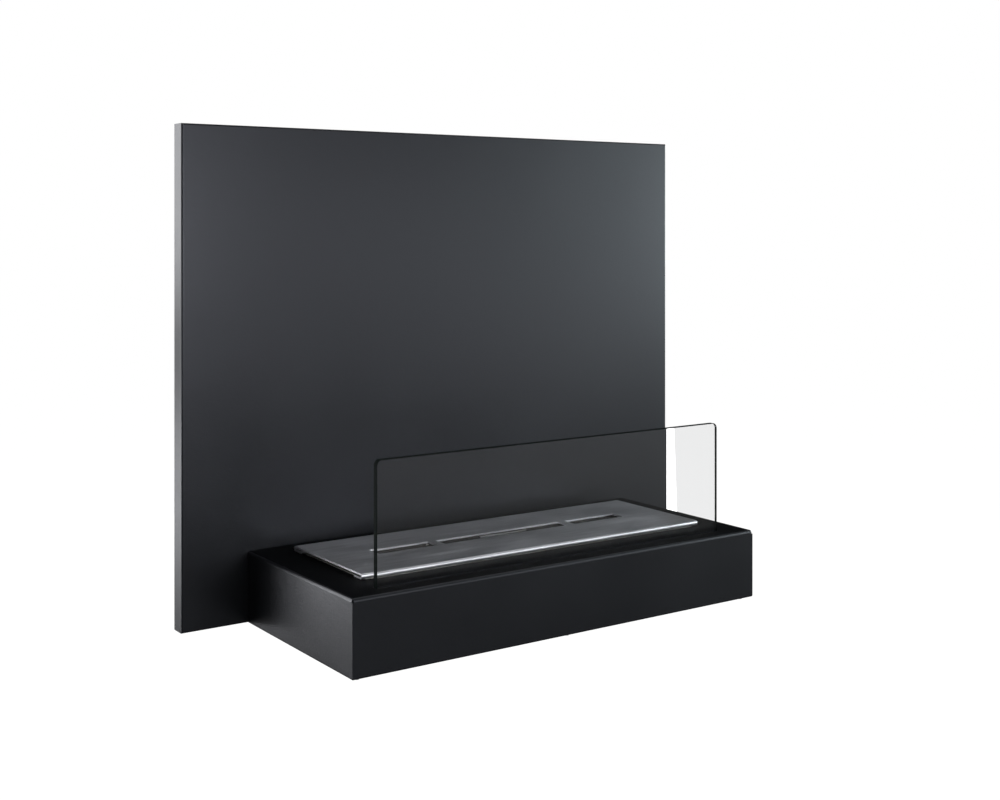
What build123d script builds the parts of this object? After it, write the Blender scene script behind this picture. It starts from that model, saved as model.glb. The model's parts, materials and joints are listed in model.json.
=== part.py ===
from build123d import *
import os

# Wall-hung bioethanol fireplace: a folded steel back panel, a box shelf in front of it, a glass guard
# standing in a slot of the shelf, and a burner with a slotted lid that drops into the shelf's cut-out.
# Millimetres. +X to the viewer's right, +Y into the wall, +Z up. The origin is the centre of the wall
# rail's four screw holes, on the wall plane y = 0.

# ---------------------------------------------------------------- driving dimensions

panel_width = 900.0
panel_height = 700.0
panel_depth = 25.0
panel_sheet = 1.5
panel_bend = 2.5          # outer radius of the panel's folds
panel_return = 14.0       # fold back towards the middle at the rear of the pan
wall_gap = 2.0            # the bumpers hold the pan this far off the wall
rail_drop = 100.0         # from the panel's top edge down to the wall screws

shelf_width = 700.0
shelf_depth = 290.0
shelf_height = 101.0
shelf_sheet = 2.0
shelf_top_bend = 5.0
shelf_bottom_bend = 2.5
shelf_flange = 22.0       # fold under the shelf that carries the bottom cover
shelf_back_side = 32.0    # flanges against the panel: left and right
shelf_back_edge = 20.0    # flanges against the panel: above and below
corner_relief = 3.0       # hole where the front and side folds of the shelf meet

glass_width = 600.0
glass_height = 185.0
glass_thickness = 8.0
glass_corner = 8.0
glass_setback = 24.0      # shelf's front face to the glass
glass_seat = 23.0         # how far the glass stands down into the shelf
gasket_thickness = 2.0
channel_sheet = 1.5

lid_length = 594.0
lid_width = 185.0
lid_setback = 65.5        # shelf's front face to the lid
lid_sheet = 2.5
hem_gap = 2.2
hem_return = 20.0
slot_width = 25.0
slot_shift = 2.5          # the slots lie this far behind the lid's middle
middle_slot = 225.0
side_slot = 97.0
slot_bridge = 12.0
slot_corner = 2.0

tank_length = 556.0
tank_width = 150.0
tank_depth = 60.0
tank_sheet = 1.5
tank_corner = 4.0
rim_width = 13.0
wool_height = 37.0
cage_sheet = 1.0
cage_hole = 10.0
cage_pitch = 26.0

well_sheet = 1.2
well_depth = 70.0
well_flange = 10.0

shutter_sheet = 1.5
shutter_front_lap = 2.0   # closed, the shutter reaches this far in front of the slots
shutter_rear_lap = 13.0
shutter_end_lap = 24.0
grip_length = 84.0
grip_thickness = 2.0
hook_hole = 18.0
hook_hole_inset = 9.5     # from the right slot's end to the hole's middle
guide_sheet = 1.5
guide_lap = 15.0
guide_foot = 14.0

rail_length = 580.0
rail_sheet = 2.0
rail_foot = 30.0          # rail's web below the screws' middle
ledge_rise = 24.0         # the ledge that the panel hangs on, above the screws' middle
hook_height = 13.0
hook_reach = 10.0         # wall to the rail's upturned lip
screw_spacing_x = 520.0
screw_spacing_z = 24.0
screw_hole = 7.0
hanger_length = 600.0
hanger_web = 34.0
hanger_headroom = 3.0

stiffener_width = 40.0
stiffener_depth = 14.0
stiffener_lip = 12.0
stiffener_place = 300.0
stiffener_drop = 160.0    # from the panel's top edge
backing_sheet = 3.0
gusset_sheet = 3.0
gusset_reach = 210.0
gusset_back_height = 84.0
gusset_front_height = 22.0
gusset_flange = 24.0
gusset_lip = 14.0

bolt_size = 6.0
bolt_head_flats = 10.0
bolt_head_height = 4.0
bolt_end = 2.5            # thread standing out of the nut
bolt_inset_x = 12.0       # from the gusset's plate to the bolt
bolt_drop = 30.0
bolt_rise = 26.0
washer_size = 12.0
washer_thickness = 1.6
nut_height = 5.0

cover_sheet = 1.5
cover_lap = 14.0
cover_screw_inset = 6.0
cover_screw = 5.0
cover_screw_length = 9.0
cover_head = 9.5
cover_head_height = 2.6
socket_size = 3.0
socket_depth = 1.6
rivet_nut_body = 7.0
rivet_nut_bulge = 9.5
rivet_nut_bulge_height = 3.0
rivet_nut_length = 11.0

bumper_size = 12.0
bumper_inset = 30.0

# clearances of the fits
glass_side_clearance = 0.25
glass_slot_clearance = 1.0
glass_end_clearance = 1.5
tank_cutout_clearance = 3.0
well_side_clearance = 4.0
cage_clearance = 1.0
wool_clearance = 1.5
shutter_lift_clearance = 0.6
shutter_under_clearance = 0.3
shutter_end_clearance = 0.8
shutter_stop_clearance = 0.2
grip_under_lid_top = 0.4
locator_clearance = 1.0
locator_over_cage = 8.5   # lid's locating tabs end this far above the wool cage
hook_clearance = 0.3
bolt_hole_clearance = 0.3
thread_clearance = 0.05

# ---------------------------------------------------------------- places worked out from them

panel_front = -(wall_gap + panel_depth)
panel_inner = panel_front + panel_sheet
panel_top = rail_drop
panel_bottom = panel_top - panel_height

shelf_back = panel_front
shelf_front = shelf_back - shelf_depth
shelf_bottom = panel_bottom
shelf_top = shelf_bottom + shelf_height
shelf_under = shelf_top - shelf_sheet
shelf_half = shelf_width / 2

glass_front = shelf_front + glass_setback
glass_middle = glass_front + glass_thickness / 2
glass_bottom = shelf_top - glass_seat

burner_middle = shelf_front + lid_setback + lid_width / 2
lid_height = 2 * lid_sheet + hem_gap
lid_bottom = shelf_top + tank_sheet
lid_top = lid_bottom + lid_height
lid_under = lid_top - lid_sheet
slot_middle = burner_middle + slot_shift
slot_front = slot_middle - slot_width / 2
slot_back = slot_middle + slot_width / 2
slots_half = middle_slot / 2 + slot_bridge + side_slot

tank_floor = shelf_top - tank_depth + tank_sheet
cage_top = tank_floor + wool_height + cage_sheet

shutter_top = lid_under - shutter_lift_clearance
shutter_bottom = shutter_top - shutter_sheet
shutter_front = slot_front - shutter_front_lap
shutter_back = slot_back + shutter_rear_lap
shutter_half = slots_half + shutter_end_lap
guide_web = shutter_half + shutter_end_clearance
shutter_travel = slot_back - slot_middle - grip_thickness - shutter_stop_clearance

gusset_place = shelf_half - shelf_back_side
bolt_x = gusset_place + gusset_sheet + bolt_inset_x
bolt_levels = (shelf_top - bolt_drop, shelf_bottom + bolt_rise)

cover_x = shelf_half - shelf_flange + cover_lap
cover_front = shelf_front + shelf_flange - cover_lap
cover_back = shelf_back - shelf_flange + cover_lap
cover_screw_places = [
    (side * (cover_x - cover_screw_inset), y)
    for side in (-1, 0, 1)
    for y in (cover_front + cover_screw_inset, cover_back - cover_screw_inset)
]

# ---------------------------------------------------------------- shapes used more than once


def block(x, y, z):
    """Box between the low and high values in x, y and z."""
    size = Box(x[1] - x[0], y[1] - y[0], z[1] - z[0])
    return Pos(sum(x) / 2, sum(y) / 2, sum(z) / 2) * size


def both(half):
    """Range from -half to +half."""
    return (-half, half)


def around(middle, width):
    """Range of the given width about a middle."""
    return (middle - width / 2, middle + width / 2)


def upright_edges(solid):
    """Edges along Z."""
    return solid.edges().filter_by(Axis.Z)


def side_extrusion(points, x):
    """Section drawn as (y, z) points, drawn out along X over the range x."""
    section = Plane.YZ * make_face(Polyline(*points, close=True))
    return Pos(x[0], 0, 0) * extrude(section, x[1] - x[0])


def disc_y(diameter, x, y, z):
    """Cylinder along Y over the range y."""
    turned = Rot(90, 0, 0) * Cylinder(diameter / 2, y[1] - y[0])
    return Pos(x, sum(y) / 2, z) * turned


def disc_z(diameter, x, y, z):
    """Cylinder along Z over the range z."""
    return Pos(x, y, sum(z) / 2) * Cylinder(diameter / 2, z[1] - z[0])


def hexagon_y(flats, x, y, z):
    """Hexagonal prism along Y over the range y."""
    prism = extrude(RegularPolygon(flats / 2, 6, major_radius=False), y[1] - y[0])
    return Pos(x, y[1], z) * (Rot(90, 0, 0) * prism)


def hexagon_z(flats, x, y, z):
    """Hexagonal prism along Z over the range z."""
    prism = extrude(RegularPolygon(flats / 2, 6, major_radius=False), z[1] - z[0])
    return Pos(x, y, z[0]) * prism


def rounded_block(x, y, z, radius):
    """Box whose upright edges are rounded."""
    solid = block(x, y, z)
    return fillet(upright_edges(solid), radius)


def folded_box(x, y, z, bends):
    """Box with rounded edges; each bend pairs a test of an edge's middle with a radius."""
    solid = block(x, y, z)
    for test, radius in bends:
        edges = [edge for edge in solid.edges() if test(edge.center())]
        solid = fillet(edges, radius)
    return solid


def open_box(x, y, z, sheet, radius):
    """Thin box with a floor, rounded upright edges and no top."""
    outer = rounded_block(x, y, z, radius)
    inner_x = (x[0] + sheet, x[1] - sheet)
    inner_y = (y[0] + sheet, y[1] - sheet)
    return outer - rounded_block(inner_x, inner_y, (z[0] + sheet, z[1] + sheet), radius - sheet)


def group(solids):
    """Separate solids that share one node."""
    return Compound(children=[item.solid() for item in solids])


def save(name, shape):
    """Writes one node."""
    export_step(shape, f"parts/{name}.step")


# ---------------------------------------------------------------- back panel and how it hangs


def make_back_panel():
    def pan(inset, y, radius):
        front_edges = lambda c: abs(c.Y - y[0]) < 0.01
        x = both(panel_width / 2 - inset)
        return folded_box(x, y, (panel_bottom + inset, panel_top - inset), [(front_edges, radius)])

    rear = -wall_gap
    outer = pan(0, (panel_front, rear), panel_bend)
    inner = pan(panel_sheet, (panel_inner, rear - panel_sheet), panel_bend - panel_sheet)
    window = block(
        both(panel_width / 2 - panel_return),
        (rear - 2 * panel_sheet, rear + panel_sheet),
        (panel_bottom + panel_return, panel_top - panel_return),
    )
    panel = outer - inner - window
    for x in (-bolt_x, bolt_x):
        for z in bolt_levels:
            panel -= disc_y(bolt_size + 2 * bolt_hole_clearance, x, (panel_front - 1, panel_inner + 1), z)
    return panel


def make_wall_rail():
    lip_top = ledge_rise + hook_height
    lip_front = -(hook_reach + rail_sheet)
    points = [
        (0, -rail_foot),
        (0, ledge_rise),
        (-hook_reach, ledge_rise),
        (-hook_reach, lip_top),
        (lip_front, lip_top),
        (lip_front, ledge_rise - rail_sheet),
        (-rail_sheet, ledge_rise - rail_sheet),
        (-rail_sheet, -rail_foot),
    ]
    rail = side_extrusion(points, both(rail_length / 2))
    for x in (-screw_spacing_x / 2, screw_spacing_x / 2):
        for z in (-screw_spacing_z / 2, screw_spacing_z / 2):
            rail -= disc_y(screw_hole, x, (-rail_sheet - 1, 1), z)
    return rail


def make_hanging_rail():
    lip_front = -(hook_reach - hook_clearance)
    lip_back = lip_front + rail_sheet
    leg_under = ledge_rise + hook_height + hanger_headroom
    leg_top = leg_under + rail_sheet
    points = [
        (panel_inner, leg_top),
        (lip_back, leg_top),
        (lip_back, ledge_rise),
        (lip_front, ledge_rise),
        (lip_front, leg_under),
        (panel_inner + rail_sheet, leg_under),
        (panel_inner + rail_sheet, leg_top - hanger_web),
        (panel_inner, leg_top - hanger_web),
    ]
    return side_extrusion(points, both(hanger_length / 2))


def make_stiffener(side):
    middle = side * stiffener_place
    crown = panel_inner + stiffener_depth
    z = (shelf_top + panel_sheet, panel_top - stiffener_drop)
    hat = block(around(middle, stiffener_width), (panel_inner, crown), z)
    hat -= block(around(middle, stiffener_width - 2 * panel_sheet), (panel_inner, crown - panel_sheet), z)
    for edge in (-1, 1):
        lip_middle = middle + edge * (stiffener_width + stiffener_lip) / 2
        hat += block(around(lip_middle, stiffener_lip), (panel_inner, panel_inner + panel_sheet), z)
    return hat


def make_backing_plate():
    z = (panel_bottom + 2 * panel_sheet, shelf_top - 2 * panel_sheet)
    y = (panel_inner, panel_inner + backing_sheet)
    plate = block(both(bolt_x + washer_size), y, z)
    for x in (-bolt_x, bolt_x):
        for level in bolt_levels:
            plate -= disc_y(bolt_size + 2 * bolt_hole_clearance, x, (y[0] - 1, y[1] + 1), level)
    return plate


def make_wall_bumpers():
    place = panel_width / 2 - bumper_inset
    level = panel_bottom + panel_return / 2
    return group([disc_y(bumper_size, x, (-wall_gap, 0), level) for x in (-place, place)])


# ---------------------------------------------------------------- shelf


def make_shelf_casing():
    def shell(inset):
        low = shelf_bottom + inset
        high = shelf_top - inset
        x = both(shelf_half - inset)
        y = (shelf_front + inset, shelf_back - inset)
        is_back = lambda c: c.Y > y[1] - 0.01
        top_edges = lambda c: abs(c.Z - high) < 0.01 and not is_back(c)
        bottom_edges = lambda c: abs(c.Z - low) < 0.01 and not is_back(c)
        bends = [(top_edges, shelf_top_bend - inset), (bottom_edges, shelf_bottom_bend - inset)]
        return folded_box(x, y, (low, high), bends)

    casing = shell(0) - shell(shelf_sheet)
    casing -= block(
        both(shelf_half - shelf_flange),
        (shelf_front + shelf_flange, shelf_back - shelf_flange),
        (shelf_bottom - 1, shelf_bottom + shelf_sheet + 1),
    )
    casing -= block(
        both(shelf_half - shelf_back_side),
        (shelf_back - shelf_sheet - 1, shelf_back + 1),
        (shelf_bottom + shelf_back_edge, shelf_top - shelf_back_edge),
    )
    through_top = (shelf_under - 1, shelf_top + 1)
    casing -= rounded_block(
        both(tank_length / 2 + tank_cutout_clearance),
        around(burner_middle, tank_width + 2 * tank_cutout_clearance),
        through_top,
        tank_corner + tank_cutout_clearance,
    )
    casing -= rounded_block(
        both(glass_width / 2 + glass_end_clearance),
        around(glass_middle, glass_thickness + 2 * glass_slot_clearance),
        through_top,
        corner_relief,
    )
    relief_y = shelf_front + shelf_sheet / 2
    for side in (-1, 1):
        relief_x = side * (shelf_half - shelf_sheet / 2)
        casing -= disc_z(corner_relief, relief_x, relief_y, (shelf_top - shelf_top_bend - 1, shelf_top + 1))
    for x in (-bolt_x, bolt_x):
        for z in bolt_levels:
            hole = bolt_size + 2 * bolt_hole_clearance
            casing -= disc_y(hole, x, (shelf_back - shelf_sheet - 1, shelf_back + 1), z)
    for x, y in cover_screw_places:
        hole = rivet_nut_body + 2 * thread_clearance
        casing -= disc_z(hole, x, y, (shelf_bottom - 1, shelf_bottom + shelf_sheet + 1))
    return casing


def make_gusset(side):
    inner = shelf_back - shelf_sheet
    front = inner - gusset_reach
    points = [
        (inner, shelf_under),
        (inner, shelf_under - gusset_back_height),
        (inner - gusset_flange, shelf_under - gusset_back_height),
        (front, shelf_under - gusset_front_height),
        (front, shelf_under),
    ]
    gusset = side_extrusion(points, (gusset_place, gusset_place + gusset_sheet))
    gusset += block(
        (gusset_place, gusset_place + gusset_flange),
        (inner - gusset_sheet, inner),
        (shelf_under - gusset_back_height, shelf_under),
    )
    gusset += block(
        (gusset_place - gusset_lip, gusset_place + gusset_sheet),
        (front, inner),
        (shelf_under - gusset_sheet, shelf_under),
    )
    for z in bolt_levels:
        hole = bolt_size + 2 * bolt_hole_clearance
        gusset -= disc_y(hole, bolt_x, (inner - gusset_sheet - 1, inner + 1), z)
    return gusset if side > 0 else mirror(gusset, Plane.YZ)


def bolted(make_one):
    """One of a fastener's pieces at each of the four shelf bolts."""
    return group([make_one(x, z) for x in (-bolt_x, bolt_x) for z in bolt_levels])


clamp_front = shelf_back - shelf_sheet - gusset_sheet
clamp_back = panel_inner + backing_sheet


def shelf_bolt(x, z):
    head_back = clamp_front - washer_thickness
    shank = disc_y(bolt_size, x, (head_back, clamp_back + nut_height + bolt_end), z)
    return shank + hexagon_y(bolt_head_flats, x, (head_back - bolt_head_height, head_back), z)


def shelf_washer(x, z):
    y = (clamp_front - washer_thickness, clamp_front)
    return disc_y(washer_size, x, y, z) - disc_y(bolt_size + 2 * bolt_hole_clearance, x, y, z)


def shelf_nut(x, z):
    y = (clamp_back, clamp_back + nut_height)
    return hexagon_y(bolt_head_flats, x, y, z) - disc_y(bolt_size + 2 * thread_clearance, x, y, z)


def make_bottom_cover():
    z = (shelf_bottom - cover_sheet, shelf_bottom)
    cover = rounded_block(both(cover_x), (cover_front, cover_back), z, corner_relief)
    for x, y in cover_screw_places:
        cover -= disc_z(cover_screw + 2 * bolt_hole_clearance, x, y, (z[0] - 1, z[1] + 1))
    return cover


def cover_screw_at(x, y):
    head_top = shelf_bottom - cover_sheet
    head_bottom = head_top - cover_head_height
    head = disc_z(cover_head, x, y, (head_bottom, head_top))
    rim = [edge for edge in head.edges() if edge.center().Z < head_bottom + 0.01]
    head = fillet(rim, cover_head_height / 2)
    head -= hexagon_z(socket_size, x, y, (head_bottom, head_bottom + socket_depth))
    return head + disc_z(cover_screw, x, y, (head_top, head_top + cover_screw_length))


def rivet_nut_at(x, y):
    top = shelf_bottom + shelf_sheet
    body = disc_z(rivet_nut_body, x, y, (shelf_bottom, shelf_bottom + rivet_nut_length))
    body += disc_z(rivet_nut_bulge, x, y, (top, top + rivet_nut_bulge_height))
    bore = (shelf_bottom - 1, shelf_bottom + rivet_nut_length + 1)
    return body - disc_z(cover_screw + 2 * thread_clearance, x, y, bore)


# ---------------------------------------------------------------- glass guard

gasket_inner = glass_thickness + 2 * glass_side_clearance
gasket_outer = gasket_inner + 2 * gasket_thickness
channel_outer = gasket_outer + 2 * channel_sheet
channel_half = glass_width / 2 + glass_end_clearance


def trough(width, wall, bottom, top):
    """U-shaped strip along the glass's lower edge, open above."""
    strip = block(both(channel_half), around(glass_middle, width), (bottom, top))
    return strip - block(both(channel_half), around(glass_middle, width - 2 * wall), (bottom + wall, top))


def make_glass_gasket():
    return trough(gasket_outer, gasket_thickness, glass_bottom - gasket_thickness, shelf_under)


def make_glass_channel():
    bottom = glass_bottom - gasket_thickness - channel_sheet
    return trough(channel_outer, channel_sheet, bottom, shelf_under)


def make_glass_pane():
    z = (glass_bottom, glass_bottom + glass_height)
    pane = block(both(glass_width / 2), (glass_front, glass_front + glass_thickness), z)
    corners = [edge for edge in pane.edges().filter_by(Axis.Y) if edge.center().Z > z[1] - 1]
    return fillet(corners, glass_corner)


# ---------------------------------------------------------------- burner


def make_burner_well():
    half = tank_length / 2 + tank_cutout_clearance + well_side_clearance + well_sheet
    width = tank_width + 2 * (tank_cutout_clearance + well_side_clearance + well_sheet)
    radius = tank_corner + tank_cutout_clearance + well_side_clearance
    z = (shelf_under - well_depth, shelf_under)
    well = open_box(both(half), around(burner_middle, width), z, well_sheet, radius)
    flange = rounded_block(
        both(half + well_flange),
        around(burner_middle, width + 2 * well_flange),
        (shelf_under - well_sheet, shelf_under),
        radius,
    )
    flange -= rounded_block(
        both(half - well_sheet),
        around(burner_middle, width - 2 * well_sheet),
        (shelf_under - 2 * well_sheet, shelf_under + 1),
        radius - well_sheet,
    )
    return well + flange


def make_burner_tank():
    z = (shelf_top - tank_depth, shelf_top + tank_sheet)
    box = open_box(both(tank_length / 2), around(burner_middle, tank_width), z, tank_sheet, tank_corner)
    rim = rounded_block(
        both(tank_length / 2 + rim_width),
        around(burner_middle, tank_width + 2 * rim_width),
        (shelf_top, shelf_top + tank_sheet),
        tank_corner,
    )
    rim -= rounded_block(
        both(tank_length / 2 - tank_sheet),
        around(burner_middle, tank_width - 2 * tank_sheet),
        (shelf_top - 1, shelf_top + tank_sheet + 1),
        tank_corner - tank_sheet,
    )
    return box + rim


def make_ceramic_wool():
    inset = tank_sheet + cage_clearance + cage_sheet + wool_clearance
    return block(
        both(tank_length / 2 - inset),
        around(burner_middle, tank_width - 2 * inset),
        (tank_floor, tank_floor + wool_height),
    )


def make_wool_cage():
    inset = tank_sheet + cage_clearance
    x = both(tank_length / 2 - inset)
    y = around(burner_middle, tank_width - 2 * inset)
    cage = block(x, y, (tank_floor, cage_top))
    inner_x = (x[0] + cage_sheet, x[1] - cage_sheet)
    inner_y = (y[0] + cage_sheet, y[1] - cage_sheet)
    cage -= block(inner_x, inner_y, (tank_floor, cage_top - cage_sheet))
    columns = int((x[1] - x[0]) // cage_pitch)
    rows = int((y[1] - y[0]) // cage_pitch)
    hole = Cylinder(cage_hole / 2, 3 * cage_sheet)
    grid = GridLocations(cage_pitch, cage_pitch, columns, rows)
    middle = Pos(0, burner_middle, cage_top)
    return cage - [middle * place * hole for place in grid]


def slot_ranges():
    """The three slots' ranges in X."""
    middle = middle_slot / 2
    return [(-slots_half, -middle - slot_bridge), (-middle, middle), (middle + slot_bridge, slots_half)]


def make_burner_lid():
    x = both(lid_length / 2)
    y = around(burner_middle, lid_width)
    near_full = 0.995

    def rounded_bar(inset):
        bar = block(x, (y[0] + inset, y[1] - inset), (lid_bottom + inset, lid_top - inset))
        return fillet(bar.edges().filter_by(Axis.X), near_full * (lid_height / 2 - inset))

    lid = rounded_bar(0) - rounded_bar(lid_sheet)
    lid -= block(x, (y[0] + hem_return, y[1] - hem_return), (lid_bottom, lid_under))
    for slot in slot_ranges():
        lid -= rounded_block(slot, (slot_front, slot_back), (lid_under - 1, lid_top + 1), slot_corner)
    return lid


def make_locator(side):
    outer = tank_length / 2 - tank_sheet - locator_clearance
    y = around(burner_middle, tank_width - 2 * (tank_sheet + locator_clearance))
    leg = block((outer - guide_sheet, outer), y, (cage_top + locator_over_cage, lid_under))
    foot_start = guide_web + guide_foot
    leg += block((foot_start, outer), y, (lid_under - guide_sheet, lid_under))
    return leg if side > 0 else mirror(leg, Plane.YZ)


def make_shutter_guide(side):
    stop = shutter_front - shutter_stop_clearance
    y = (stop - guide_sheet, shutter_back + shutter_travel)
    shelf_z = shutter_bottom - shutter_under_clearance
    bottom = shelf_z - guide_sheet
    web = (guide_web, guide_web + guide_sheet)
    guide = block(web, y, (bottom, lid_under))
    guide += block((shutter_half - guide_lap, web[1]), y, (bottom, shelf_z))
    guide += block((guide_web, guide_web + guide_foot), y, (lid_under - guide_sheet, lid_under))
    guide += block((shutter_half - guide_lap, web[1]), (y[0], stop), (bottom, shutter_top))
    return guide if side > 0 else mirror(guide, Plane.YZ)


def make_shutter_plate():
    plate = block(both(shutter_half), (shutter_front, shutter_back), (shutter_bottom, shutter_top))
    hole_y = slot_back - hook_hole / 2 + shutter_front_lap
    hole_z = (shutter_bottom - 1, shutter_top + 1)
    return plate - disc_z(hook_hole, slots_half - hook_hole_inset, hole_y, hole_z)


def make_shutter_grip():
    y = (slot_middle, slot_middle + grip_thickness)
    return block(both(grip_length / 2), y, (shutter_top, lid_top - grip_under_lid_top))


# ---------------------------------------------------------------- every node

os.makedirs("parts", exist_ok=True)

save("wall_rail", make_wall_rail())
save("back_panel", make_back_panel())
save("hanging_rail", make_hanging_rail())
save("panel_stiffener_left", make_stiffener(-1))
save("panel_stiffener_right", make_stiffener(1))
save("backing_plate", make_backing_plate())
save("wall_bumpers", make_wall_bumpers())

save("shelf_casing", make_shelf_casing())
save("shelf_gusset_left", make_gusset(-1))
save("shelf_gusset_right", make_gusset(1))
save("shelf_bolts", bolted(shelf_bolt))
save("shelf_washers", bolted(shelf_washer))
save("shelf_nuts", bolted(shelf_nut))
save("bottom_cover", make_bottom_cover())
save("cover_screws", group([cover_screw_at(x, y) for x, y in cover_screw_places]))
save("cover_rivet_nuts", group([rivet_nut_at(x, y) for x, y in cover_screw_places]))

save("glass_channel", make_glass_channel())
save("glass_gasket", make_glass_gasket())
save("glass_pane", make_glass_pane())

save("burner_well", make_burner_well())
save("burner_tank", make_burner_tank())
save("ceramic_wool", make_ceramic_wool())
save("wool_cage", make_wool_cage())
save("burner_lid", make_burner_lid())
save("lid_locator_left", make_locator(-1))
save("lid_locator_right", make_locator(1))
save("shutter_guide_left", make_shutter_guide(-1))
save("shutter_guide_right", make_shutter_guide(1))
save("shutter_plate", make_shutter_plate())
save("shutter_grip", make_shutter_grip())
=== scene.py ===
import json
import math

import bmesh
import bpy
from mathutils import Matrix, Vector, noise


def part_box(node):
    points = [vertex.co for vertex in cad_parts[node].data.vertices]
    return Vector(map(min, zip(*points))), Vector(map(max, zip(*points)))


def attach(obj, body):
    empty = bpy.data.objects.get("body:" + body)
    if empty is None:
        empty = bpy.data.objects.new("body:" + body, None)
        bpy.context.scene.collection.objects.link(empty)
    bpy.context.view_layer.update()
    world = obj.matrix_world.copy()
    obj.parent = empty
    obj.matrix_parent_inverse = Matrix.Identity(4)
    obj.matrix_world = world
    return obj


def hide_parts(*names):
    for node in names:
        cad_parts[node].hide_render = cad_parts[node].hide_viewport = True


# Looks of the wall-hung bioethanol fireplace. Metres, in the frame of the CAD model: +X to the viewer's
# right, +Y into the wall, +Z up, origin at the centre of the wall rail's screw holes.

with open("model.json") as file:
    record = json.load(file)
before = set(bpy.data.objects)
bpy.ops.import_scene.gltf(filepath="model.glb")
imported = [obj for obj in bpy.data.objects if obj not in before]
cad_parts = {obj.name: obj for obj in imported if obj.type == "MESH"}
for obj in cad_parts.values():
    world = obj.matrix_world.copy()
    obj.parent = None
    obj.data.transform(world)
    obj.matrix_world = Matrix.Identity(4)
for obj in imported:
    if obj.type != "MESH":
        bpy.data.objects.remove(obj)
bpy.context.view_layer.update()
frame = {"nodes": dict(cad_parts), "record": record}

scene = bpy.context.scene
nodes = frame["nodes"]
MM = 0.001

# ---------------------------------------------------------------- camera

IMAGE_WIDTH, IMAGE_HEIGHT = 1000, 800
SENSOR = 36.0
FOCAL_PIXELS = 1348.5
VANISHING = (400.5, 225.8)          # pixel that the level camera points at
CAMERA_PLACE = (-1.1920, -1.7434, -0.0410)
CAMERA_TURN = math.radians(32.60)   # to the right of straight at the wall


def make_camera():
    data = bpy.data.cameras.new("camera")
    data.sensor_width = SENSOR
    data.lens = FOCAL_PIXELS * SENSOR / IMAGE_WIDTH
    data.shift_x = (IMAGE_WIDTH / 2 - VANISHING[0]) / IMAGE_WIDTH
    data.shift_y = (VANISHING[1] - IMAGE_HEIGHT / 2) / IMAGE_WIDTH
    camera = bpy.data.objects.new("camera", data)
    camera.location = CAMERA_PLACE
    camera.rotation_euler = (math.radians(90), 0, -CAMERA_TURN)
    scene.collection.objects.link(camera)
    scene.camera = camera


make_camera()

# ---------------------------------------------------------------- node helpers


class Tree:
    """Short calls for building one node tree."""

    def __init__(self, owner):
        owner.use_nodes = True
        self.tree = owner.node_tree
        self.tree.nodes.clear()

    def node(self, kind, **settings):
        made = self.tree.nodes.new("ShaderNode" + kind)
        for name, value in settings.items():
            setattr(made, name, value)
        return made

    def feed(self, socket, value):
        """Links an output to a socket, or sets the socket's value."""
        if isinstance(value, bpy.types.NodeSocket):
            self.tree.links.new(value, socket)
        else:
            socket.default_value = value

    def math(self, operation, first, second=0.0):
        made = self.node("Math", operation=operation)
        self.feed(made.inputs[0], first)
        self.feed(made.inputs[1], second)
        return made.outputs[0]

    def remap(self, value, low, high, to_low, to_high, smooth=False):
        made = self.node("MapRange", interpolation_type="SMOOTHSTEP" if smooth else "LINEAR")
        for socket, item in zip(made.inputs, (value, low, high, to_low, to_high)):
            self.feed(socket, item)
        return made.outputs[0]

    def mix_colour(self, factor, first, second):
        made = self.node("Mix", data_type="RGBA")
        self.feed(made.inputs["Factor"], factor)
        self.feed(made.inputs[6], (*first, 1) if isinstance(first, tuple) else first)
        self.feed(made.inputs[7], (*second, 1) if isinstance(second, tuple) else second)
        return made.outputs[2]

    def mix_value(self, factor, first, second):
        made = self.node("Mix", data_type="FLOAT")
        self.feed(made.inputs["Factor"], factor)
        self.feed(made.inputs[2], first)
        self.feed(made.inputs[3], second)
        return made.outputs[0]

    def coordinates(self, scale=(1, 1, 1)):
        mapping = self.node("Mapping")
        self.feed(mapping.inputs["Vector"], self.node("TexCoord").outputs["Object"])
        mapping.inputs["Scale"].default_value = scale
        return mapping.outputs["Vector"]

    def noise(self, vector, scale, detail=2.0, roughness=0.5, distortion=0.0):
        made = self.node("TexNoise")
        self.feed(made.inputs["Vector"], vector)
        made.inputs["Scale"].default_value = scale
        made.inputs["Detail"].default_value = detail
        made.inputs["Roughness"].default_value = roughness
        made.inputs["Distortion"].default_value = distortion
        return made.outputs["Fac"]

    def cells(self, vector, scale):
        """A random grey for each of the cells that fill space."""
        made = self.node("TexVoronoi")
        self.feed(made.inputs["Vector"], vector)
        made.inputs["Scale"].default_value = scale
        apart = self.node("SeparateColor")
        self.feed(apart.inputs[0], made.outputs["Color"])
        return apart.outputs[0]

    def facing(self):
        """X, Y and Z of the way that the surface faces."""
        apart = self.node("SeparateXYZ")
        self.feed(apart.inputs[0], self.node("TexCoord").outputs["Normal"])
        return apart.outputs

    def bump(self, height, distance, below=None):
        made = self.node("Bump")
        made.inputs["Strength"].default_value = 1.0
        made.inputs["Distance"].default_value = distance
        self.feed(made.inputs["Height"], height)
        if below is not None:
            self.feed(made.inputs["Normal"], below)
        return made.outputs["Normal"]

    def direction(self, x, y, z):
        made = self.node("CombineXYZ")
        for socket, value in zip(made.inputs, (x, y, z)):
            socket.default_value = value
        return made.outputs[0]

    def finish(self, shader):
        out = self.node("OutputMaterial")
        self.feed(out.inputs["Surface"], shader)


def new_material(name):
    material = bpy.data.materials.new(name)
    return material, Tree(material)


def principled(tree, **values):
    """A Principled shader; names are its sockets with _ for a space."""
    shader = tree.node("BsdfPrincipled")
    for name, value in values.items():
        if isinstance(value, tuple) and len(value) == 3:
            value = (*value, 1.0)
        tree.feed(shader.inputs[name.replace("_", " ")], value)
    return shader.outputs[0]


# ---------------------------------------------------------------- materials

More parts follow.
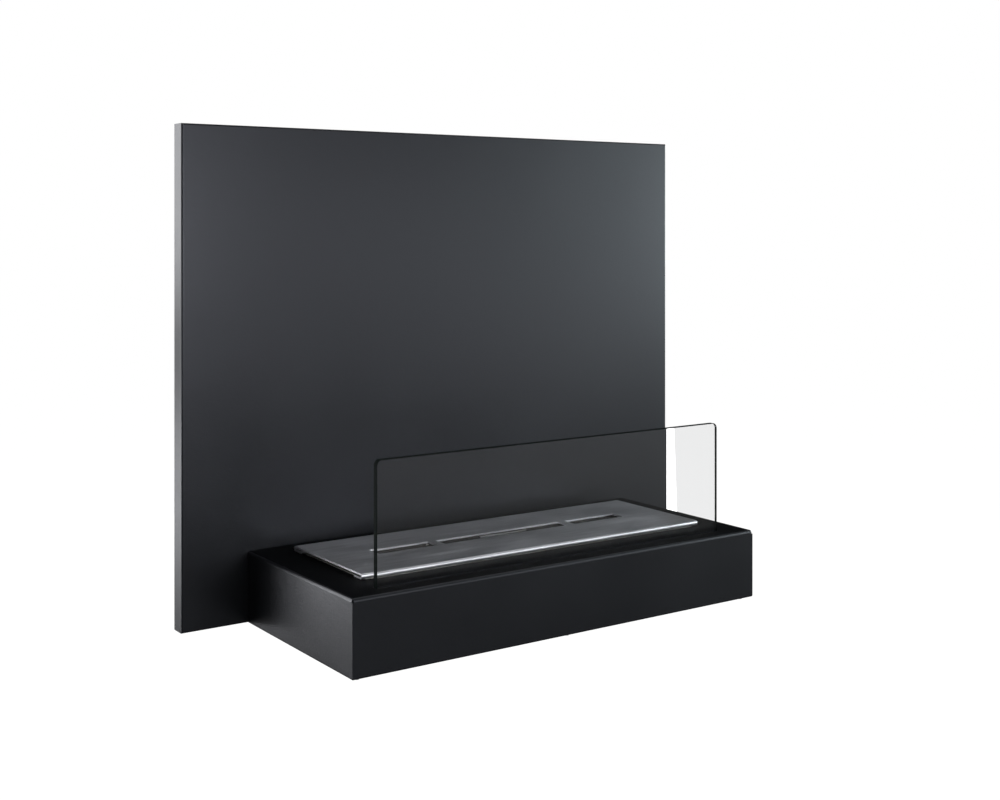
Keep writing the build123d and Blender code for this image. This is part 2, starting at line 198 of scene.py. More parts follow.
NOISE_RANGE = (0.3, 0.7)  # most of a noise's values lie in it

COAT_GLOSS = 0.5          # specular level of the black coat
GLOSS_ON_TOP = 0.04       # the same where it faces up, lowered as painted shade that keeps the top dark
DULL_TOP = 0.30           # and there it is this much rougher, part of the same painted shade
TURNS_UP = (0.80, 0.97)   # Z of the surface's direction, from not facing up to facing up
WRINKLE_DEPTH = 0.09 * MM
PEEL_DEPTH = 0.015 * MM


def make_black_coat():
    """Black powder coat: a fine wrinkle drawn out a little sideways, over a finer orange peel; where it
    faces up it has less gloss and more roughness, painted shade that keeps the top dark.
    """
    material, tree = new_material("black_coat")
    across = tree.coordinates((0.75, 0.75, 1.35))
    wrinkle = tree.noise(across, 270.0, detail=3.0, roughness=0.5, distortion=0.6)
    peel = tree.noise(tree.coordinates(), 1400.0, detail=1.0)
    cloud = tree.noise(tree.coordinates(), 7.0, detail=3.0)
    # Faces turned up lose gloss and get rougher: painted shade that darkens the coat's top.
    on_top = tree.remap(tree.facing()[2], *TURNS_UP, 0.0, 1.0, smooth=True)
    cloudy = tree.remap(cloud, *NOISE_RANGE, 0.31, 0.36)
    shader = principled(
        tree,
        Base_Color=tree.mix_colour(wrinkle, (0.0018, 0.0020, 0.0025), (0.0028, 0.0031, 0.0038)),
        Roughness=tree.math("ADD", cloudy, tree.math("MULTIPLY", on_top, DULL_TOP)),
        Specular_IOR_Level=tree.remap(on_top, 0.0, 1.0, COAT_GLOSS, GLOSS_ON_TOP),
        Specular_Tint=(0.85, 0.88, 1.0),
        Normal=tree.bump(peel, PEEL_DEPTH, tree.bump(wrinkle, WRINKLE_DEPTH)),
    )
    tree.finish(shader)
    return material


GRAIN_DEPTH = 0.012 * MM  # grain of brushed and rolled steel
UPRIGHT = 0.8             # how far a surface faces sideways or forward to count as an upright edge
EDGE_HIGHLIGHT_GAIN = 1.5           # an upright edge's colour against the brushed face's: a painted highlight
STREAK_SHADE = 0.70       # colour of the darkest streaks against the lightest
ROUGHNESS_SWING = 0.05


def make_brushed(name, colour, roughness, grain, anisotropy):
    """Steel brushed along X: hair lines, streaks and soft clouds; its upright edges are plain unbrushed
    metal, and all faces that stand upright or face forward are painted brighter as a highlight.
    """
    material, tree = new_material(name)
    hairs = tree.noise(tree.coordinates((0.012, 1, 1)), 1500.0, detail=3.0, roughness=0.7)
    streaks = tree.noise(tree.coordinates((0.10, 1, 1)), 120.0, detail=4.0, roughness=0.65)
    cloud = tree.noise(tree.coordinates((0.45, 1, 1)), 24.0, detail=3.0, roughness=0.6, distortion=0.5)
    facing = tree.facing()
    sideways = tree.math("ABSOLUTE", facing[0])
    forward = tree.math("MULTIPLY", facing[1], -1.0)
    upright = tree.math("GREATER_THAN", tree.math("MAXIMUM", sideways, forward), UPRIGHT)
    darker = tuple(STREAK_SHADE * channel for channel in colour)
    # Painted highlight: upright and forward faces get a brighter colour than the brushed face.
    edge_highlight = tuple(min(1.0, EDGE_HIGHLIGHT_GAIN * channel) for channel in colour)
    shade = tree.math("ADD", tree.math("MULTIPLY", hairs, 0.5), tree.math("ADD", streaks, cloud))
    brushed = tree.mix_colour(tree.remap(shade, 1.0, 1.5, 0.0, 1.0), darker, colour)
    uneven = tree.math("ADD", tree.math("MULTIPLY", cloud, 0.6), tree.math("MULTIPLY", streaks, 0.4))
    smoothest, roughest = roughness - ROUGHNESS_SWING, roughness + ROUGHNESS_SWING
    shader = principled(
        tree,
        Base_Color=tree.mix_colour(upright, brushed, edge_highlight),
        Metallic=1.0,
        Roughness=tree.remap(uneven, 0.35, 0.65, smoothest, roughest),
        Anisotropic=tree.math("MULTIPLY", tree.math("SUBTRACT", 1.0, upright), anisotropy),
        Anisotropic_Rotation=0.25,
        Tangent=tree.direction(1.0, 0.01, 0.02),
        Normal=tree.bump(hairs, grain),
    )
    tree.finish(shader)
    return material


def make_rolled(name, colour, roughness):
    """Plain rolled stainless sheet with a fine matt grain and faint rolling marks."""
    material, tree = new_material(name)
    grain = tree.noise(tree.coordinates((0.3, 1, 1)), 2200.0, detail=2.0)
    marks = tree.noise(tree.coordinates((0.08, 1, 1)), 120.0, detail=4.0, roughness=0.65)
    stain = tree.noise(tree.coordinates(), 14.0, detail=4.0, roughness=0.6)
    warm = tuple(channel * tint for channel, tint in zip(colour, (0.92, 0.88, 0.80)))
    shader = principled(
        tree,
        Base_Color=tree.mix_colour(tree.remap(stain, 0.45, 0.7, 0.0, 0.7), colour, warm),
        Metallic=1.0,
        Roughness=tree.remap(marks, *NOISE_RANGE, roughness - 0.05, roughness + 0.07),
        Normal=tree.bump(grain, GRAIN_DEPTH),
    )
    tree.finish(shader)
    return material


def make_shaded_plate():
    """Plate steel painted dark and matt as the shade in the recess under the slots, with brown tints and a
    fine speckled bump.
    """
    material, tree = new_material("shaded_plate_steel")
    tint = tree.noise(tree.coordinates((0.4, 1, 1)), 30.0, detail=4.0, roughness=0.6)
    brownish = tree.remap(tint, 0.4, 0.65, 0.0, 1.0)
    speckle = tree.noise(tree.coordinates(), 900.0, detail=3.0, roughness=0.6)
    # Dark base, little metal and low gloss: painted shade of the recess under the lid's slots.
    shader = principled(
        tree,
        Base_Color=tree.mix_colour(brownish, (0.030, 0.029, 0.028), (0.055, 0.048, 0.042)),
        Metallic=0.35,
        Roughness=tree.remap(speckle, *NOISE_RANGE, 0.60, 0.75),
        Specular_IOR_Level=0.12,
        Normal=tree.bump(speckle, 0.02 * MM),
    )
    tree.finish(shader)
    return material


def make_zinc(name, colour, spangle, roughness):
    """Zinc: flat crystals of slightly different grey, spangle of them in a metre."""
    material, tree = new_material(name)
    crystals = tree.cells(tree.coordinates(), spangle)
    dust = tree.noise(tree.coordinates(), 60.0, detail=4.0, roughness=0.65)
    dull = tuple(0.78 * channel for channel in colour)
    shader = principled(
        tree,
        Base_Color=tree.mix_colour(tree.math("MULTIPLY", crystals, 0.8), colour, dull),
        Metallic=1.0,
        Roughness=tree.math("ADD", tree.remap(crystals, 0, 1, 0.0, 0.10),
                            tree.remap(dust, *NOISE_RANGE, roughness, roughness + 0.08)),
        Normal=tree.bump(dust, 0.03 * MM),
    )
    tree.finish(shader)
    return material


def make_rubber(name, level, grain):
    """Matt black rubber with a moulded grain and a little dust."""
    material, tree = new_material(name)
    pores = tree.noise(tree.coordinates(), grain, detail=3.0, roughness=0.6)
    dust = tree.noise(tree.coordinates(), 40.0, detail=3.0)
    dusty = (1.8 * level, 1.8 * level, 1.75 * level)
    shader = principled(
        tree,
        Base_Color=tree.mix_colour(dust, (level, level, level), dusty),
        Roughness=tree.remap(pores, *NOISE_RANGE, 0.55, 0.75),
        Normal=tree.bump(pores, 0.05 * MM),
    )
    tree.finish(shader)
    return material


def make_clear_glass():
    """Clear toughened glass; wiping leaves patches that are a very little less smooth."""
    material, tree = new_material("clear_glass")
    wiped = tree.noise(tree.coordinates((1, 1, 0.5)), 9.0, detail=3.0)
    shader = principled(
        tree,
        Base_Color=(0.905, 0.908, 0.910),
        Roughness=tree.remap(wiped, 0.5, 0.7, 0.0, 0.012),
        IOR=1.5,
        Transmission_Weight=1.0,
    )
    tree.finish(shader)
    return material


def make_ground_glass():
    """The pane's ground edge, with the fine lines that grinding leaves along it; its near black green is
    painted shade, standing for the dark look into the pane's edge.
    """
    material, tree = new_material("ground_glass")
    lines = tree.noise(tree.coordinates((1, 40, 1)), 90.0, detail=2.0)
    # Near black colour and almost no gloss: painted shade of the edge.
    shader = principled(
        tree,
        Base_Color=tree.mix_colour(lines, (0.004, 0.006, 0.006), (0.009, 0.013, 0.012)),
        Roughness=tree.remap(lines, *NOISE_RANGE, 0.45, 0.60),
        Specular_IOR_Level=0.02,
    )
    tree.finish(shader)
    return material


def make_fibre():
    """White ceramic fibre: matted strands with a few darker grains."""
    material, tree = new_material("ceramic_fibre")
    strands = tree.noise(tree.coordinates((0.25, 1, 1.6)), 900.0, detail=4.0, roughness=0.7, distortion=1.5)
    tufts = tree.noise(tree.coordinates(), 120.0, detail=4.0, roughness=0.65, distortion=0.8)
    shade = tree.remap(tree.math("MULTIPLY", strands, tufts), 0.12, 0.36, 0, 1)
    shader = principled(
        tree,
        Base_Color=tree.mix_colour(shade, (0.60, 0.57, 0.50), (0.86, 0.85, 0.81)),
        Roughness=0.95,
        Sheen_Weight=0.25,
        Normal=tree.bump(strands, 0.3 * MM, tree.bump(tufts, 0.8 * MM)),
    )
    tree.finish(shader)
    return material


black_coat = make_black_coat()
lid_steel = make_brushed("lid_steel", (0.62, 0.625, 0.66), 0.36, GRAIN_DEPTH, 0.5)
tank_steel = make_rolled("tank_steel", (0.52, 0.52, 0.51), 0.33)
grip_steel = make_rolled("grip_steel", (0.30, 0.30, 0.31), 0.45)
shaded_plate_steel = make_shaded_plate()
rail_zinc = make_zinc("rail_zinc", (0.60, 0.61, 0.63), 110.0, 0.38)
plated_zinc = make_zinc("plated_zinc", (0.66, 0.68, 0.72), 1800.0, 0.24)
seal_rubber = make_rubber("seal_rubber", 0.010, 700.0)
bumper_rubber = make_rubber("bumper_rubber", 0.016, 1500.0)
clear_glass = make_clear_glass()
ground_glass = make_ground_glass()
ceramic_fibre = make_fibre()

by_slot = {
    "black_steel": black_coat,
    "stainless": lid_steel,
    "tank_steel": tank_steel,
    "zinc_steel": plated_zinc,
    "glass": clear_glass,
    "seal_rubber": seal_rubber,
    "bumper_rubber": bumper_rubber,
    "wool": ceramic_fibre,
}
# The shutter plate gets the dark plate steel, painted shade of the slots' recess.
by_node = {"wall_rail": rail_zinc, "shutter_plate": shaded_plate_steel, "shutter_grip": grip_steel}


def paint_nodes():
    for entry in frame["record"]["subparts"]:
        node = nodes[entry["node"]]
        for slot in node.material_slots:
            slot.material = by_node.get(entry["node"], by_slot[entry["material_slot"]])


paint_nodes()

# ---------------------------------------------------------------- mesh helpers


def skin(work, rings, loop=False):
    """Faces between neighbouring rings of points; loop also joins the last ring to the first."""
    made = [[work.verts.new(point) for point in ring] for ring in rings]
    pairs = list(zip(made, made[1:]))
    if loop:
        pairs.append((made[-1], made[0]))
    faces = []
    for low, high in pairs:
        for a, b, c, d in zip(low, low[1:] + low[:1], high[1:] + high[:1], high):
            faces.append(work.faces.new((a, b, c, d)))
    return made, faces


def turned(work, place, section, sides=48, loop=False):
    """Turns section(angle), a list of (radius, height) points in millimetres, about the axis of place."""
    columns = []
    for step in range(sides):
        angle = 2 * math.pi * step / sides
        spoke = Vector((math.cos(angle), math.sin(angle), 0))
        columns.append([place @ (radius * spoke + Vector((0, 0, height)))
                        for radius, height in section(angle)])
    skin(work, list(zip(*columns)), loop)


def axis_at(x, y, z, turn=0):
    """Axis through a point in metres, along Z, or turned about X by so many degrees; its unit is 1 mm."""
    turned_about_x = Matrix.Rotation(math.radians(turn), 4, "X")
    return Matrix.Translation((x, y, z)) @ turned_about_x @ Matrix.Scale(MM, 4)


TO_ROOM = 90        # the axis points at the viewer, -Y
TO_WALL = -90       # the axis points into the wall, +Y
TO_FLOOR = 180      # the axis points down


def drawn_out(work, points, low, high):
    """Closed outline of (y, z) points, drawn out along X from low to high, with its ends closed."""
    rings, _ = skin(work, [[Vector((x, y, z)) for y, z in points] for x in (low, high)])
    for ring in rings:
        work.faces.new(ring)


def arc(middle, radius, start, end, steps=6):
    """Points of an arc; angles in degrees."""
    angles = [math.radians(start + (end - start) * step / steps) for step in range(steps + 1)]
    return [(middle[0] + radius * math.cos(a), middle[1] + radius * math.sin(a)) for a in angles]


def make_piece(name, work, body, materials, replaced=(), crease=30):
    """Turns mesh work into a piece that rides on a body; edges folded by more than crease stay sharp."""
    bmesh.ops.remove_doubles(work, verts=work.verts, dist=0.001 * MM)
    bmesh.ops.recalc_face_normals(work, faces=work.faces)
    mesh = bpy.data.meshes.new(name)
    work.to_mesh(mesh)
    work.free()
    mesh.polygons.foreach_set("use_smooth", [True] * len(mesh.polygons))
    mesh.set_sharp_from_angle(angle=math.radians(crease))
    for material in materials:
        mesh.materials.append(material)
    piece = bpy.data.objects.new(name, mesh)
    scene.collection.objects.link(piece)
    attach(piece, body)
    if replaced:
        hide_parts(*replaced)
    return piece


# ---------------------------------------------------------------- glass guard

ARRIS = 0.7 * MM          # flat ground along each edge of the pane
PANE_CORNER = 8 * MM


def make_pane():
    """Pane with rounded top corners; its edges are ground, and the two faces are clear."""
    low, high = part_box("glass_pane")

    def outline(inset, y):
        right, left, top, bottom = high.x - inset, low.x + inset, high.z - inset, low.z + inset
        radius = PANE_CORNER - inset
        points = [(left, bottom), (right, bottom)]
        points += arc((right - radius, top - radius), radius, 0, 90, 12)
        points += arc((left + radius, top - radius), radius, 90, 180, 12)
        return [Vector((x, y, z)) for x, z in points]

    work = bmesh.new()
    layers = [(ARRIS, low.y), (0, low.y + ARRIS), (0, high.y - ARRIS), (ARRIS, high.y)]
    rings, edge = skin(work, [outline(inset, y) for inset, y in layers])
    for face in edge:
        face.material_index = 1
    work.faces.new(rings[0])
    work.faces.new(rings[-1])
    pane = make_piece("toughened_pane", work, "glass", [clear_glass, ground_glass], ["glass_pane"])
    pane.visible_shadow = False       # light passes a clear pane


def make_gasket():
    """Rubber channel whose two lips are rounded where they touch the glass."""
    low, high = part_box("glass_gasket")
    pane_low, pane_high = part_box("glass_pane")
    gap = 0.25 * MM           # left on each side of the pane, clear of both meshes
    inner = (pane_low.y - gap, pane_high.y + gap)
    foot = 2 * MM
    corner = 1 * MM
    lip = (inner[0] - low.y) / 2
    outline = arc((low.y + corner, low.z + corner), corner, 180, 270, 4)
    outline += arc((high.y - corner, low.z + corner), corner, 270, 360, 4)
    outline += arc((high.y - lip, high.z - lip), lip, 0, 180, 8)
    outline += [(inner[1], low.z + foot), (inner[0], low.z + foot)]
    outline += arc((low.y + lip, high.z - lip), lip, 0, 180, 8)
    work = bmesh.new()
    drawn_out(work, outline, low.x, high.x)
    make_piece("lipped_gasket", work, "fireplace", [seal_rubber], ["glass_gasket"])


make_pane()
make_gasket()

# ---------------------------------------------------------------- fasteners

CHAMFER = math.tan(math.radians(30))


def hexagon(flats, angle):
    """Radius of a hexagon at an angle; a corner lies at angle 0."""
    return flats / 2 / math.cos(angle % (math.pi / 3) - math.pi / 6)


def four_places(node, reach_x, reach_z):
    """The middles of four alike pieces from the box around them all; reach is half of one piece."""
    low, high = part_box(node)
    return [(x, z) for x in (low.x + reach_x, high.x - reach_x) for z in (low.z + reach_z, high.z - reach_z)]


HEX_FLATS = 10.0
HEX_CORNER = hexagon(HEX_FLATS, 0)
BOLT_PITCH = 1.0
BOLT_RADIUS = 3.0
HEAD_HEIGHT = 4.0
THREAD_LENGTH = 9.0
THREAD_DEPTH = 0.61 * BOLT_PITCH
THREAD_ROWS = 8           # rows of points in one pitch


def make_bolts():
    low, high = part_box("shelf_bolts")
    bearing = low.y + HEAD_HEIGHT * MM
    length = (high.y - bearing) / MM
    dish = 0.46 * HEX_FLATS   # radius of the head's flat end, which is sunk a little inside
    sunk = HEAD_HEIGHT - 0.15

    def section(angle):
        corner = hexagon(HEX_FLATS, angle)
        points = [(0, sunk), (dish - 0.6, sunk), (dish - 0.3, HEAD_HEIGHT)]
        points += [(dish, HEAD_HEIGHT), (corner, HEAD_HEIGHT - (corner - dish) * CHAMFER), (corner, 0)]
        points += [(BOLT_RADIUS, 0), (BOLT_RADIUS, THREAD_LENGTH - length)]
        rows = int(THREAD_LENGTH / BOLT_PITCH * THREAD_ROWS)
        for row in range(rows):
            height = THREAD_LENGTH - length - (row + 1) * BOLT_PITCH / THREAD_ROWS
            phase = (height / BOLT_PITCH + angle / (2 * math.pi)) % 1
            crest = BOLT_RADIUS - THREAD_DEPTH * (1 - abs(2 * phase - 1))
            end_cone = BOLT_RADIUS - THREAD_DEPTH + max(0, height + length - 0.1)
            points.append((min(crest, end_cone), height))
        return points + [(0, -length)]

    work = bmesh.new()
    for x, z in four_places("shelf_bolts", HEX_CORNER * MM, HEX_FLATS / 2 * MM):
        turned(work, axis_at(x, bearing, z, TO_ROOM), section)
    make_piece("threaded_bolts", work, "fireplace", [plated_zinc], ["shelf_bolts"])


def make_nuts():
    low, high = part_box("shelf_nuts")
    height = (high.y - low.y) / MM
    dish = 0.47 * HEX_FLATS
    bore = BOLT_RADIUS + 0.05
    sink = 0.45

    def section(angle):
        corner = hexagon(HEX_FLATS, angle)
        fall = (corner - dish) * CHAMFER
        return [(bore + sink, 0), (dish, 0), (corner, fall), (corner, height - fall), (dish, height),
                (bore + sink, height), (bore, height - sink), (bore, sink)]

    work = bmesh.new()
    for x, z in four_places("shelf_nuts", HEX_CORNER * MM, HEX_FLATS / 2 * MM):
        turned(work, axis_at(x, low.y, z, TO_WALL), section, loop=True)
    make_piece("chamfered_nuts", work, "fireplace", [plated_zinc], ["shelf_nuts"])


def make_washers():
    low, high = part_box("shelf_washers")
    thick = (high.y - low.y) / MM
    radius, bore = 6.0, 3.3
    sharp = 0.1               # bevel of the edges that stamping leaves sharp

    def section(angle):
        """Stamping rounds the outer edge of one face and the bore's edge of the other."""
        outer_round = [(radius - 0.35, 0), (radius - 0.1, 0.1), (radius, 0.35)]
        outer_sharp = [(radius, thick - sharp), (radius - sharp, thick)]
        inner_round = [(bore + 0.3, thick), (bore + 0.08, thick - 0.08), (bore, thick - 0.3)]
        inner_sharp = [(bore, sharp), (bore + sharp, 0)]
        return outer_round + outer_sharp + inner_round + inner_sharp

    work = bmesh.new()
    for x, z in four_places("shelf_washers", radius * MM, radius * MM):
        turned(work, axis_at(x, low.y, z, TO_WALL), section, loop=True)
    make_piece("stamped_washers", work, "fireplace", [plated_zinc], ["shelf_washers"])


SCREW_HEAD_RADIUS = 4.75
HEAD_ROUND = 2.3          # how far in from its rim a button head is round
HEAD_RIM = 0.5            # height of the rim's straight part


def make_cover_screws():
    """Button heads with a hexagon socket; only the heads show."""
    low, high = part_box("cover_screws")
    cover_low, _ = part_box("bottom_cover")
    head = (cover_low.z - low.z) / MM
    shank = (high.z - cover_low.z) / MM
    socket, socket_depth, shank_radius = 3.0, 1.6, 2.5

    def section(angle):
        wall = hexagon(socket, angle)
        points = [(0, head - socket_depth - 0.3), (wall, head - socket_depth)]
        points += [(wall, head - 0.2), (wall + 0.3, head)]
        dome = SCREW_HEAD_RADIUS - HEAD_ROUND
        points += [(dome + HEAD_ROUND * math.sin(a), HEAD_RIM + (head - HEAD_RIM) * math.cos(a))
                   for a in (math.pi / 2 * step / 7 for step in range(8))]
        points += [(SCREW_HEAD_RADIUS - 0.2, 0), (shank_radius, 0), (shank_radius, 0.6 - shank)]
        return points + [(shank_radius - 0.6, -shank), (0, -shank)]

    work = bmesh.new()
    reach = SCREW_HEAD_RADIUS * MM
    for x in (low.x + reach, 0, high.x - reach):
        for y in (low.y + reach, high.y - reach):
            turned(work, axis_at(x, y, cover_low.z, TO_FLOOR), section)
    make_piece("button_screws", work, "fireplace", [plated_zinc], ["cover_screws"])


def make_bumpers():
    """Discs with a raised ring at the rim, which bears on the wall."""
    low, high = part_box("wall_bumpers")
    thick = (high.y - low.y) / MM
    radius = (high.z - low.z) / 2 / MM

    def section(angle):
        middle = [(0, thick - 0.35), (radius - 2.4, thick - 0.3)]
        ring = [(radius - 1.7, thick), (radius - 0.8, thick), (radius - 0.25, thick - 0.25)]
        return middle + ring + [(radius, thick - 0.8), (radius, 0), (0, 0)]

    work = bmesh.new()
    for x in (low.x + radius * MM, high.x - radius * MM):
        turned(work, axis_at(x, low.y, (low.z + high.z) / 2, TO_WALL), section)
    make_piece("moulded_bumpers", work, "fireplace", [bumper_rubber], ["wall_bumpers"])


make_bolts()
make_nuts()
make_washers()
make_cover_screws()
make_bumpers()

# ---------------------------------------------------------------- welds

# (radius, height) in millimetres: a shallow crater, its raised rim, and a skirt sunk in the sheet
SPOT_SECTION = ((0, 0.03), (1.7, 0.05), (2.5, 0.22), (3.2, 0), (2.5, -0.4), (0, -0.4))
SPOT_SPACING = 48 * MM
PANEL_SHEET = 1.5 * MM
RAIL_SHEET = 2 * MM
GUIDE_SHEET = 1.5 * MM


def spots_between(low, high):
    """Places of spot welds between two ends, evenly spaced."""
    count = max(1, round((high - low) / SPOT_SPACING))
    return [low + (high - low) * (step + 0.5) / count for step in range(count)]


def spot_weld(work, place):
    turned(work, place, lambda angle: SPOT_SECTION, 24)


def make_spot_welds():
    """Where the stiffeners and the hanging rail are welded to the panel."""
    work = bmesh.new()
    lip_middle = 26 * MM       # from a stiffener's middle to the middle of its lip
    for name in ("panel_stiffener_left", "panel_stiffener_right"):
        low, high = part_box(name)
        middle = (low.x + high.x) / 2
        for x in (middle - lip_middle, middle + lip_middle):
            for z in spots_between(low.z, high.z):
                spot_weld(work, axis_at(x, low.y + PANEL_SHEET, z, TO_WALL))
    low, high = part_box("hanging_rail")
    flange_middle = low.z + 10 * MM
    for x in spots_between(low.x, high.x):
        spot_weld(work, axis_at(x, low.y + RAIL_SHEET, flange_middle, TO_WALL))
    make_piece("panel_spot_welds", work, "fireplace", [black_coat])


def make_lid_spot_welds():
    """Where the locators' and the guides' feet are welded under the lid."""
    work = bmesh.new()
    foot_inset = 6 * MM        # from a piece's end to the middle of its foot
    for side, outward in (("left", -1), ("right", 1)):
        for name, foot_end in (("lid_locator_", -outward), ("shutter_guide_", outward)):
            low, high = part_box(name + side)
            foot = high.x - foot_inset if foot_end > 0 else low.x + foot_inset
            for y in spots_between(low.y, high.y):
                spot_weld(work, axis_at(foot, y, high.z - GUIDE_SHEET, TO_FLOOR))
    make_piece("lid_spot_welds", work, "lid", [tank_steel])


ROWS_PER_RIPPLE = 4
BEAD_VALLEY = 0.82        # radius between two ripples, as a share of a ripple's
BEAD_END = 0.4            # radius at the bead's ends, likewise


def weld_bead(work, start, end, radius, ripple=1.1):
    """Rippled bead between two points, with closed ends; radius and ripple in millimetres."""
    start, end = Vector(start), Vector(end)
    along = (end - start).normalized()
    along_turn = along.to_track_quat("Z", "Y").to_matrix().to_4x4()
    place = Matrix.Translation(start) @ along_turn @ Matrix.Scale(MM, 4)
    length = (end - start).length / MM
    rows = int(length / ripple * ROWS_PER_RIPPLE)
    points = [(0, 0)]
    for row in range(rows + 1):
        height = length * row / rows
        swell = abs(math.sin(math.pi * height / ripple))
        share = BEAD_VALLEY + (1 - BEAD_VALLEY) * swell
        fade = min(1, BEAD_END + 4 * min(row, rows - row) / rows)
        points.append((radius * share * fade, height))
    turned(work, place, lambda angle: points + [(0, length)], 12)


def make_corner_welds():
    """The pan's four folded corners are closed by a bead inside."""
    low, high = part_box("back_panel")
    work = bmesh.new()
    inset = 2.2 * MM          # from the pan's outside to the bead's middle
    end_gap = 3 * MM
    for x in (low.x + inset, high.x - inset):
        for z in (low.z + inset, high.z - inset):
            weld_bead(work, (x, low.y + end_gap, z), (x, high.y - end_gap, z), 1.5)
    make_piece("pan_corner_welds", work, "fireplace", [black_coat])


def make_tank_welds():
    """The tank's four upright corners, welded outside below the rim."""
    low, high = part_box("burner_tank")
    rim = 13 * MM
    inset = rim + 1.4 * MM    # from the rim's outside to the bead's middle
    foot, top = low.z + 2 * MM, high.z - 3 * MM
    work = bmesh.new()
    for x in (low.x + inset, high.x - inset):
        for y in (low.y + inset, high.y - inset):
            weld_bead(work, (x, y, foot), (x, y, top), 0.8, 0.8)
    make_piece("tank_corner_welds", work, "burner", [tank_steel])


make_spot_welds()
make_lid_spot_welds()
make_corner_welds()
make_tank_welds()

# ---------------------------------------------------------------- ceramic wool

WOOL_STEP = 4 * MM
WOOL_ROUND = 5 * MM
WOOL_RELIEF = 1.4 * MM
TUFT_SCALE, LINT_SCALE = 70, 220    # of the noise that shapes the mat's surface


def make_wool():
    """Soft mat with rounded edges and an uneven, matted surface, inside the space of the CAD block."""
    low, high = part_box("ceramic_wool")
    work = bmesh.new()
    bmesh.ops.create_cube(work, size=1)
    for vertex in work.verts:
        vertex.co = Vector([low[i] if vertex.co[i] < 0 else high[i] for i in range(3)])
    for axis in range(3):
        edges = [edge for edge in work.edges
                 if abs(edge.verts[0].co[axis] - edge.verts[1].co[axis]) > (high - low)[axis] / 2]
        cuts = int((high - low)[axis] / WOOL_STEP)
        bmesh.ops.subdivide_edges(work, edges=edges, cuts=cuts, use_grid_fill=True)
    for vertex in work.verts:
        core = Vector([min(max(vertex.co[i], low[i] + WOOL_ROUND), high[i] - WOOL_ROUND) for i in range(3)])
        outward = (vertex.co - core).normalized()
        tufts = noise.noise(vertex.co * TUFT_SCALE) + 0.5 * noise.noise(vertex.co * LINT_SCALE)
        relief = WOOL_RELIEF * (0.5 + 0.33 * tufts)
        vertex.co = core + outward * (WOOL_ROUND - relief)
    mat = make_piece("wool_mat", work, "burner", [ceramic_fibre], ["ceramic_wool"], crease=80)


make_wool()

# ---------------------------------------------------------------- stage and light

FLOOR_LEVEL = -1.10
FLOOR_HALF = 30.0
FLOOR_GREY = 0.10
AMBIENT = 0.50                      # world's level for matt surfaces
FLOOR_GLOW = 1.0 - FLOOR_GREY * AMBIENT   # makes white with the ambient light that the floor reflects
PALE_FLOOR = 0.13                   # the floor's level in gloss, away from the object
PALE_FROM, PALE_FULL = 2.6, 4.5     # metres; nearer than the first the floor is dark in gloss


def seen_directly(tree):
    """1 for rays that come from the camera, straight or through the glass, and not off any surface."""
    paths = tree.node("LightPath")
    bounces = tree.math("ADD", paths.outputs["Glossy Depth"], paths.outputs["Diffuse Depth"])
    off_nothing = tree.math("LESS_THAN", bounces, 0.5)
    through = tree.math("MULTIPLY", paths.outputs["Is Transmission Ray"], off_nothing)
    return tree.math("MAXIMUM", paths.outputs["Is Camera Ray"], through)


def make_floor_material():
    """White to the eye, dark grey to the lamps, dim in gloss, and clear from below."""
    material, tree = new_material("pale_floor")
    diffuse = tree.node("BsdfDiffuse")
    diffuse.inputs["Color"].default_value = (FLOOR_GREY, FLOOR_GREY, FLOOR_GREY, 1)
    white = tree.math("MULTIPLY", seen_directly(tree), FLOOR_GLOW)
    away = tree.node("VectorMath", operation="LENGTH")
    tree.feed(away.inputs[0], tree.node("NewGeometry").outputs["Position"])
    pale = tree.remap(away.outputs["Value"], PALE_FROM, PALE_FULL, 0.0, PALE_FLOOR, smooth=True)
    in_gloss = tree.math("MULTIPLY", tree.node("LightPath").outputs["Is Glossy Ray"], pale)
    glow = tree.node("Emission")
    tree.feed(glow.inputs["Strength"], tree.math("MAXIMUM", white, in_gloss))
    both = tree.node("AddShader")
    tree.feed(both.inputs[0], diffuse.outputs[0])
    tree.feed(both.inputs[1], glow.outputs[0])
    from_below = tree.node("MixShader")
    tree.feed(from_below.inputs[0], tree.node("NewGeometry").outputs["Backfacing"])
    tree.feed(from_below.inputs[1], both.outputs[0])
    tree.feed(from_below.inputs[2], tree.node("BsdfTransparent").outputs[0])
    tree.finish(from_below.outputs[0])
    return material


def make_floor():
    mesh = bpy.data.meshes.new("floor")
    around = [(-1, -1), (1, -1), (1, 1), (-1, 1)]
    corners = [(FLOOR_HALF * x, FLOOR_HALF * y, FLOOR_LEVEL) for x, y in around]
    mesh.from_pydata(corners, [], [(0, 1, 2, 3)])
    mesh.materials.append(make_floor_material())
    floor = bpy.data.objects.new("floor", mesh)
    scene.collection.objects.link(floor)


def toward(azimuth, elevation):
    """Direction from the object; azimuth 0 is in front of it, 90 at its right."""
    turn, rise = math.radians(azimuth), math.radians(elevation)
    return Vector((math.sin(turn) * math.cos(rise), -math.cos(turn) * math.cos(rise), math.sin(rise)))


# What gloss sees of the studio: pale places as (azimuth, elevation, level)
PALE_PLACES = ((0, 22, 0.50), (0, 88, 0.30))
FADED_OUT = math.cos(math.radians(50))   # cosine of the angle from a place's middle where it has faded out


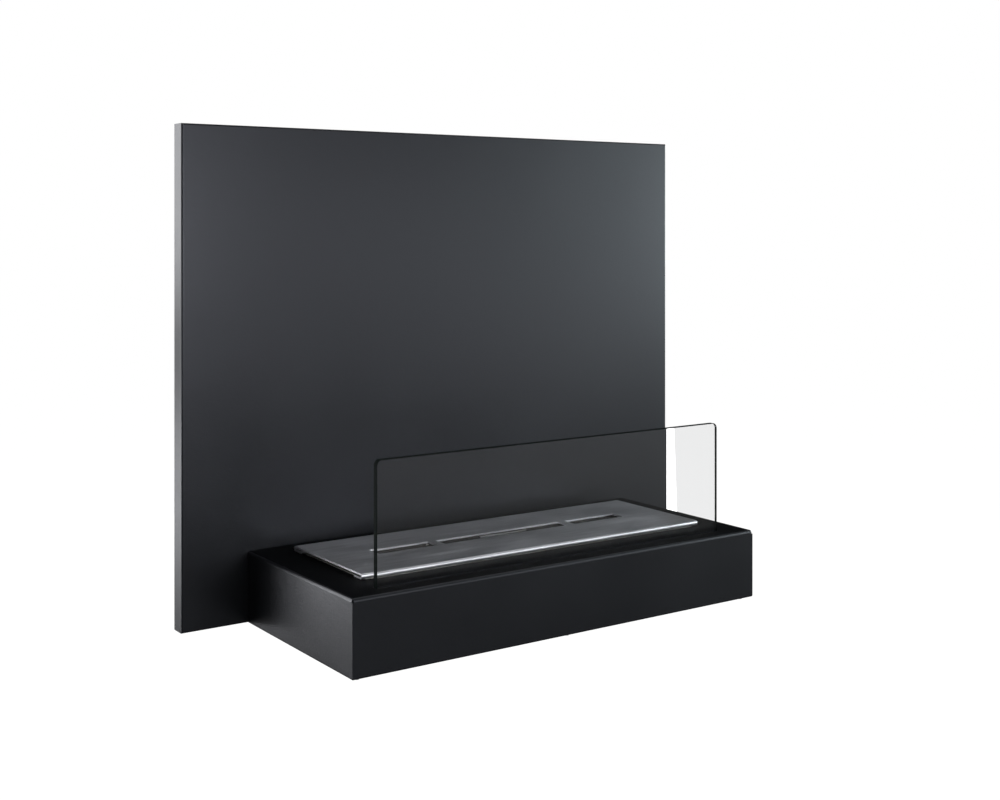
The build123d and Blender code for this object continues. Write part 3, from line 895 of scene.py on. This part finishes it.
def make_world():
    """White to the eye and plain grey to matt surfaces; gloss sees a dark studio with pale places in it."""
    world = bpy.data.worlds.new("studio")
    scene.world = world
    tree = Tree(world)
    way = tree.node("TexCoord").outputs["Generated"]
    studio = 0.0
    for azimuth, elevation, brightness in PALE_PLACES:
        facing = tree.node("VectorMath", operation="DOT_PRODUCT")
        tree.feed(facing.inputs[0], way)
        facing.inputs[1].default_value = toward(azimuth, elevation)
        place = tree.remap(facing.outputs["Value"], FADED_OUT, 1.0, 0.0, brightness, smooth=True)
        studio = tree.math("ADD", place, studio)
    matt_or_gloss = tree.mix_value(tree.node("LightPath").outputs["Is Glossy Ray"], AMBIENT, studio)
    level = tree.mix_value(seen_directly(tree), matt_or_gloss, 1.0)
    background = tree.node("Background")
    tree.feed(background.inputs["Strength"], level)
    background.inputs["Color"].default_value = (1, 1, 1, 1)
    tree.feed(tree.node("OutputWorld").inputs["Surface"], background.outputs[0])


LIT_POINT = Vector((0, -0.15, -0.35))
LAMP_DISTANCE = 3.0
COOL = (0.90, 1.0, 1.0)             # colour of the lamps whose name starts with cool
WHITE = (1.0, 1.0, 1.0)

# name, azimuth, elevation, width, height, watts
SOFTBOXES = (
    ("cool_right_strip", 75, 6, 1.0, 0.4, 38.0),
    ("cool_right_box", 60, 14, 1.5, 1.5, 14.0),
    ("front_strip", 0, 6, 1.0, 0.4, 30.0),
    ("front_right_strip", 30, 6, 1.0, 0.4, 2.6),
    ("low_right_strip", 45, -2, 1.0, 0.4, 1.9),
    ("low_front_strip", 30, -2, 1.0, 0.4, 1.0),
    ("top_box", 97, 57, 1.0, 1.0, 7.5),
    ("right_rear_box", 120, 45, 0.7, 0.7, 0.9),
    ("left_low_box", 225, -20, 1.5, 1.5, 55.0),
    ("left_rear_box", 215, 15, 1.5, 1.5, 30.0),
    ("left_box", 242, -4, 1.5, 1.5, 24.0),
    ("rear_box", 150, -8, 2.0, 1.2, 14.0),
    ("right_low_box", 95, -8, 1.2, 1.0, 5.0),
)


def softbox(name, azimuth, elevation, width, height, power):
    data = bpy.data.lights.new(name, "AREA")
    data.shape = "RECTANGLE"
    data.size, data.size_y = width, height
    data.energy = power
    data.color = COOL if name.startswith("cool") else WHITE
    lamp = bpy.data.objects.new(name, data)
    way = toward(azimuth, elevation)
    lamp.location = LIT_POINT + LAMP_DISTANCE * way
    lamp.rotation_euler = (-way).to_track_quat("-Z", "Y").to_euler()
    lamp.visible_camera = False     # unseen straight from the camera, but not through the pane
    scene.collection.objects.link(lamp)


make_floor()
make_world()
for values in SOFTBOXES:
    softbox(*values)

scene.view_settings.view_transform = "Standard"
